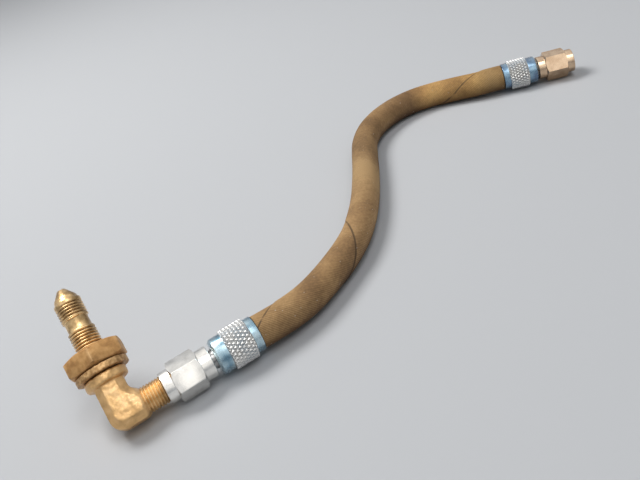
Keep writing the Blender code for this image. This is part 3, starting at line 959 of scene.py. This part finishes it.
def bulkhead_stem():
    """Thread, relief, second thread and nose of the bulkhead arm."""
    relief_end = ARM_RELIEF_START + ARM_RELIEF_LENGTH
    thread = THREAD_D / 2
    relief = ARM_RELIEF_D / 2
    plain_end = LOCKNUT_END - 1.5 * MM
    root = thread - THREAD_DEPTH
    outline = [(SHOULDER_FACE - 1 * MM, root), (plain_end - THREAD_DEPTH, root)]
    outline += near_rings(plain_end, ARM_RELIEF_START, thread)
    outline += [
        (ARM_RELIEF_START + 0.25 * MM, relief + 0.1 * MM),
        (ARM_RELIEF_START + 0.5 * MM, relief),
        (relief_end - 0.5 * MM, relief),
        (relief_end - 0.25 * MM, relief + 0.1 * MM),
    ]
    outline += near_rings(relief_end, ARM_THREAD_END, thread)
    outline += nose_rings(ARM_NOSE_BASE, thread - 0.38 * MM)
    obj = lathe("bulkhead_stem", outline, sides=STEM_SIDES)
    lower = (plain_end - 0.1 * MM, ARM_RELIEF_START + 0.1 * MM)
    upper = (relief_end - 0.1 * MM, ARM_THREAD_END - ARM_THREAD_LEAD)
    mark_stem(obj, cut_threads(obj, thread, lower, upper), 1.0)
    return stand_up(obj)


def hose_stem():
    """Thread and nose of the arm that the hose is screwed to."""
    thread = THREAD_D / 2
    thread_end = HOSE_NOSE_BASE - NOSE_LAND
    outline = [(HOSE_ARM_BLOCK - 1 * MM, thread - THREAD_DEPTH)]
    outline += near_rings(HOSE_ARM_BLOCK - 0.4 * MM, thread_end, thread)
    outline += nose_rings(HOSE_NOSE_BASE, NOSE_BASE_D / 2)
    obj = lathe("hose_stem", outline, sides=STEM_SIDES)
    grooves = cut_threads(obj, thread, (HOSE_ARM_BLOCK - 0.2 * MM, thread_end + 0.1 * MM))
    mark_stem(obj, grooves, HOSE_ARM_TURNED)
    return obj


def elbow_piece(look):
    """The forging and its shoulder, flowed together and lumpy on the flats, then both turned stems."""
    body = forging_piece()
    join(body, shoulder_piece())
    apply_modifier(body, "REMESH", mode="VOXEL", voxel_size=FORGING_VOXEL)
    apply_modifier(body, "SMOOTH", factor=0.5, iterations=FORGING_SMOOTHING)
    flat = FORGING_DEPTH / 2

    def below_shoulder(point):
        return 1 - ramp_in(point.z, SHOULDER_START - 1 * MM, SHOULDER_START)

    def on_flat(point):
        return ramp_in(abs(point.y), flat - 0.9 * MM, flat - 0.3 * MM)

    roughen(body, SKIN_LUMP, SKIN_LUMP_DEPTH, below_shoulder)
    roughen(body, FLAT_LUMP, FLAT_LUMP_DEPTH, on_flat)
    mark(body, "root", [0.0] * len(body.data.vertices))
    mark(body, "turned", [0.0] * len(body.data.vertices))
    join(body, bulkhead_stem(), hose_stem())
    return finish_piece(body, ELBOW_PLACE, look, "hose_assembly", "elbow_body", smooth=SMOOTH_FORGING)


def washer_piece(look):
    """A thick washer with an uneven rim."""
    hole = THREAD_D / 2 + CLEAR
    rim = WASHER_D / 2
    end = WASHER_START + WASHER_THICKNESS
    outline = [
        (WASHER_START, hole),
        (WASHER_START, rim - 2 * WASHER_EDGE),
        (WASHER_START, rim - WASHER_EDGE),
        (WASHER_START + 0.1 * MM, rim - 0.1 * MM),
    ]
    steps = 6
    for i in range(steps + 1):
        outline.append((WASHER_START + WASHER_EDGE + (WASHER_THICKNESS - 2 * WASHER_EDGE) * i / steps, rim))
    outline += [
        (end - 0.1 * MM, rim - 0.1 * MM),
        (end, rim - WASHER_EDGE),
        (end, rim - 2 * WASHER_EDGE),
        (end, hole),
    ]
    obj = lathe("washer", outline, WASHER_SIDES)

    def on_rim(point):
        return float(math.hypot(point.y, point.z) > rim - 0.2 * MM)

    roughen(obj, WASHER_LUMP, WASHER_LUMP_DEPTH, on_rim)
    return finish_piece(obj, ARM_PLACE, look, "hose_assembly", "bulkhead_washer")


def locknut_piece(look):
    hole = THREAD_D / 2 + CLEAR
    corner = LOCKNUT_FLATS / math.sqrt(3) + CLEAR
    face = LOCKNUT_FACE_D / 2
    slope = (corner - face) * math.tan(LOCKNUT_CHAMFER)
    outline = [
        (LOCKNUT_START, hole),
        (LOCKNUT_START, face),
        (LOCKNUT_START + slope, corner),
        (LOCKNUT_END - slope, corner),
        (LOCKNUT_END, face),
        (LOCKNUT_END, hole + 0.4 * MM),
        (LOCKNUT_END - 0.4 * MM, hole),
    ]
    obj = lathe("locknut", outline, LOCKNUT_SIDES)
    cut_to_hex(obj, LOCKNUT_START, LOCKNUT_END, LOCKNUT_FLATS, LOCKNUT_TURN)
    soften_edges(obj, LOCKNUT_SOFTENING)
    return finish_piece(obj, ARM_PLACE, look, "hose_assembly", "bulkhead_locknut")


def hose_route():
    """Points on the smooth curve through the route's corners, a ring's step apart."""
    lying = HOSE_D / 2 + HOSE_LIFT
    corners = [Vector((*NEAR_END, AXIS_HEIGHT))]
    for x, y, lift in ROUTE:
        corners.append(Vector((x * MM, y * MM, lying + lift * (AXIS_HEIGHT - lying))))
    corners.append(Vector((*FAR_END, AXIS_HEIGHT)))
    ends = [2 * corners[0] - corners[1]] + corners + [2 * corners[-1] - corners[-2]]
    points = [corners[0] + PLAN_SHIFT]
    for before, start, end, after in zip(ends, ends[1:], ends[2:], ends[3:]):
        steps = max(1, round((end - start).length / HOSE_RING_STEP))
        for i in range(1, steps + 1):
            t = i / steps
            curve = 2 * start + (end - before) * t
            curve += (2 * before - 5 * start + 4 * end - after) * t**2
            curve += (3 * start - before - 3 * end + after) * t**3
            points.append(curve / 2 + PLAN_SHIFT)
    return points


def tape_lift(along, around):
    """How far the tape stands off the hose's mean radius: most at its edge, least under the next one."""
    across = ((along / MM - TAPE_EDGE_AT) / TAPE_PITCH + around - TAPE_EDGE_TURN) % 1.0
    raised = 0.2 + 0.8 * ramp_in(abs(along / MM - TAPE_FLUSH_AT), TAPE_FLUSH, TAPE_FLUSH + TAPE_FLUSH_FADE)
    return TAPE_RISE * raised * (0.3 - across) * ramp_in(across, 0, 0.015)


def hose_piece(look):
    """A tube of rings across the route, with its arc and its length in the map named laid."""
    points = hose_route()
    runs = [0.0]
    for point, after in zip(points, points[1:]):
        runs.append(runs[-1] + (after - point).length)
    vertices = []
    for i, (point, run) in enumerate(zip(points, runs)):
        ahead = (points[min(i + 1, len(points) - 1)] - points[max(i - 1, 0)]).normalized()
        side = Vector((0, 0, 1)).cross(ahead).normalized()
        up = ahead.cross(side)
        for k in range(HOSE_SIDES):
            angle = 2 * math.pi * k / HOSE_SIDES
            radius = HOSE_D / 2 + tape_lift(run, k / HOSE_SIDES)
            vertex = point + radius * (side * math.cos(angle) + up * math.sin(angle))
            vertex.z = max(vertex.z, 0)
            vertices.append(vertex)
    faces, laid = [], []
    for i in range(len(points) - 1):
        row, next_row = i * HOSE_SIDES, (i + 1) * HOSE_SIDES
        near, far = runs[i] / MM, runs[i + 1] / MM
        for k in range(HOSE_SIDES):
            beside = (k + 1) % HOSE_SIDES
            left, right = k / HOSE_SIDES, (k + 1) / HOSE_SIDES
            faces.append((row + k, row + beside, next_row + beside, next_row + k))
            laid += [(left, near), (right, near), (right, far), (left, far)]
    faces.append(tuple(range(HOSE_SIDES)))
    faces.append(tuple(reversed(range(len(vertices) - HOSE_SIDES, len(vertices)))))
    laid += [(0, 0)] * (2 * HOSE_SIDES)
    mesh = bpy.data.meshes.new("hose_cover")
    mesh.from_pydata(vertices, [], faces)
    for corner, spot in zip(mesh.uv_layers.new(name="laid").data, laid):
        corner.uv = spot
    obj = bpy.data.objects.new("hose_cover", mesh)
    bpy.context.scene.collection.objects.link(obj)
    finish_piece(obj, Matrix.Identity(4), look, "hose_assembly", "hose", smooth=SMOOTH_CLOTH)
    points[::6] + [points[-1]]


def add_camera():
    data = bpy.data.cameras.new("camera")
    data.lens = CAMERA_LENS
    data.sensor_width = CAMERA_SENSOR
    data.shift_x, data.shift_y = CAMERA_SHIFT
    data.clip_start = 10 * MM
    camera = bpy.data.objects.new("camera", data)
    bpy.context.scene.collection.objects.link(camera)
    foot = ELBOW_PLACE.translation.copy()
    foot.z = 0
    camera.location = foot + Vector(CAMERA_FROM_ELBOW)
    camera.rotation_euler = CAMERA_TURN
    bpy.context.scene.camera = camera


def add_lamp(name, place, size, power, colour):
    """A soft square lamp that faces the middle of the floor."""
    data = bpy.data.lights.new(name, "AREA")
    data.size = size
    data.energy = power
    data.color = colour
    lamp = bpy.data.objects.new(name, data)
    bpy.context.scene.collection.objects.link(lamp)
    lamp.location = place
    lamp.rotation_euler = (-Vector(place)).to_track_quat("-Z", "Y").to_euler()


def add_world():
    """A pale sky: the background and what metal mirrors are brighter than the light that it gives."""
    world = bpy.data.worlds.new("studio")
    world.use_nodes = True
    sky = Shading(world.node_tree)
    up = sky.parts(sky.node("ShaderNodeTexCoord", {}, {}, "Generated"))[2]
    colour = sky.ramp(up, (0.0, SKY_LOW), (0.7, SKY_HIGH))
    kinds = ("Camera", "Glossy", "Transmission")
    camera, glossy, through = [sky.node("ShaderNodeLightPath", {}, {}, f"Is {kind} Ray") for kind in kinds]
    light = sky.node("ShaderNodeBackground", {}, {"Color": colour, "Strength": SKY_LIGHT})
    seen = sky.node("ShaderNodeBackground", {}, {"Color": colour, "Strength": 1.0})
    both = sky.node("ShaderNodeMixShader", {}, {0: camera + glossy + through, 1: light, 2: seen})
    world.node_tree.links.new(both.socket, world.node_tree.nodes["World Output"].inputs["Surface"])
    bpy.context.scene.world = world


def add_floor():
    bpy.ops.object.select_all(action="DESELECT")
    bpy.ops.mesh.primitive_plane_add(size=FLOOR_SIZE, location=(0, 0, 0))
    floor = bpy.context.object
    floor.name = "floor"
    floor.data.materials.append(Look("floor", Base_Color=FLOOR_COLOUR, Roughness=0.9).material)


add_camera()
hose_piece(hose_cloth())
near_blue = blue_anodised("blue_anodised", deep=(0.08, 0.22, 0.32), pale=(0.50, 0.66, 0.72), wear=0.6)
# The far socket is the same part as the near one: its darker blue is painted shade, and its crests are less
# worn.
far_blue_shaded = blue_anodised("blue_anodised_far", deep=(0.018, 0.09, 0.20), pale=(0.22, 0.40, 0.53), wear=0.45)
steel = turned_metal("nipple_steel", dark=(0.20, 0.20, 0.20), light=(0.40, 0.39, 0.38))
bare = turned_metal("clear_aluminium", dark=(0.75, 0.73, 0.69), light=(0.85, 0.83, 0.79))
warm = turned_metal("plated_steel", dark=(0.54, 0.38, 0.25), light=(0.69, 0.51, 0.35))
socket_piece("near_sleeve", NEAR_PLACE, near_blue, "near_socket")
socket_piece("far_sleeve", FAR_PLACE, far_blue_shaded, "far_socket")
nipple_piece("near_stub", NEAR_PLACE, steel, "near_nipple")
nipple_piece("far_stub", FAR_PLACE, steel, "far_nipple")
swivel_nut_piece(NEAR_PLACE, bare, "hose_assembly", "near_swivel_nut", NEAR_NUT_TURN, NEAR_NUT_REACH)
swivel_nut_piece(FAR_NUT_PLACE, warm, "far_swivel_nut", "far_swivel_nut", FAR_NUT_TURN, FAR_NUT_REACH)
elbow_piece(forged_brass())
washer_piece(washer_brass())
locknut_piece(nut_brass())
add_floor()
add_world()
for lamp in LAMPS:
    add_lamp(*lamp)
bpy.context.scene.view_settings.view_transform = "Standard"
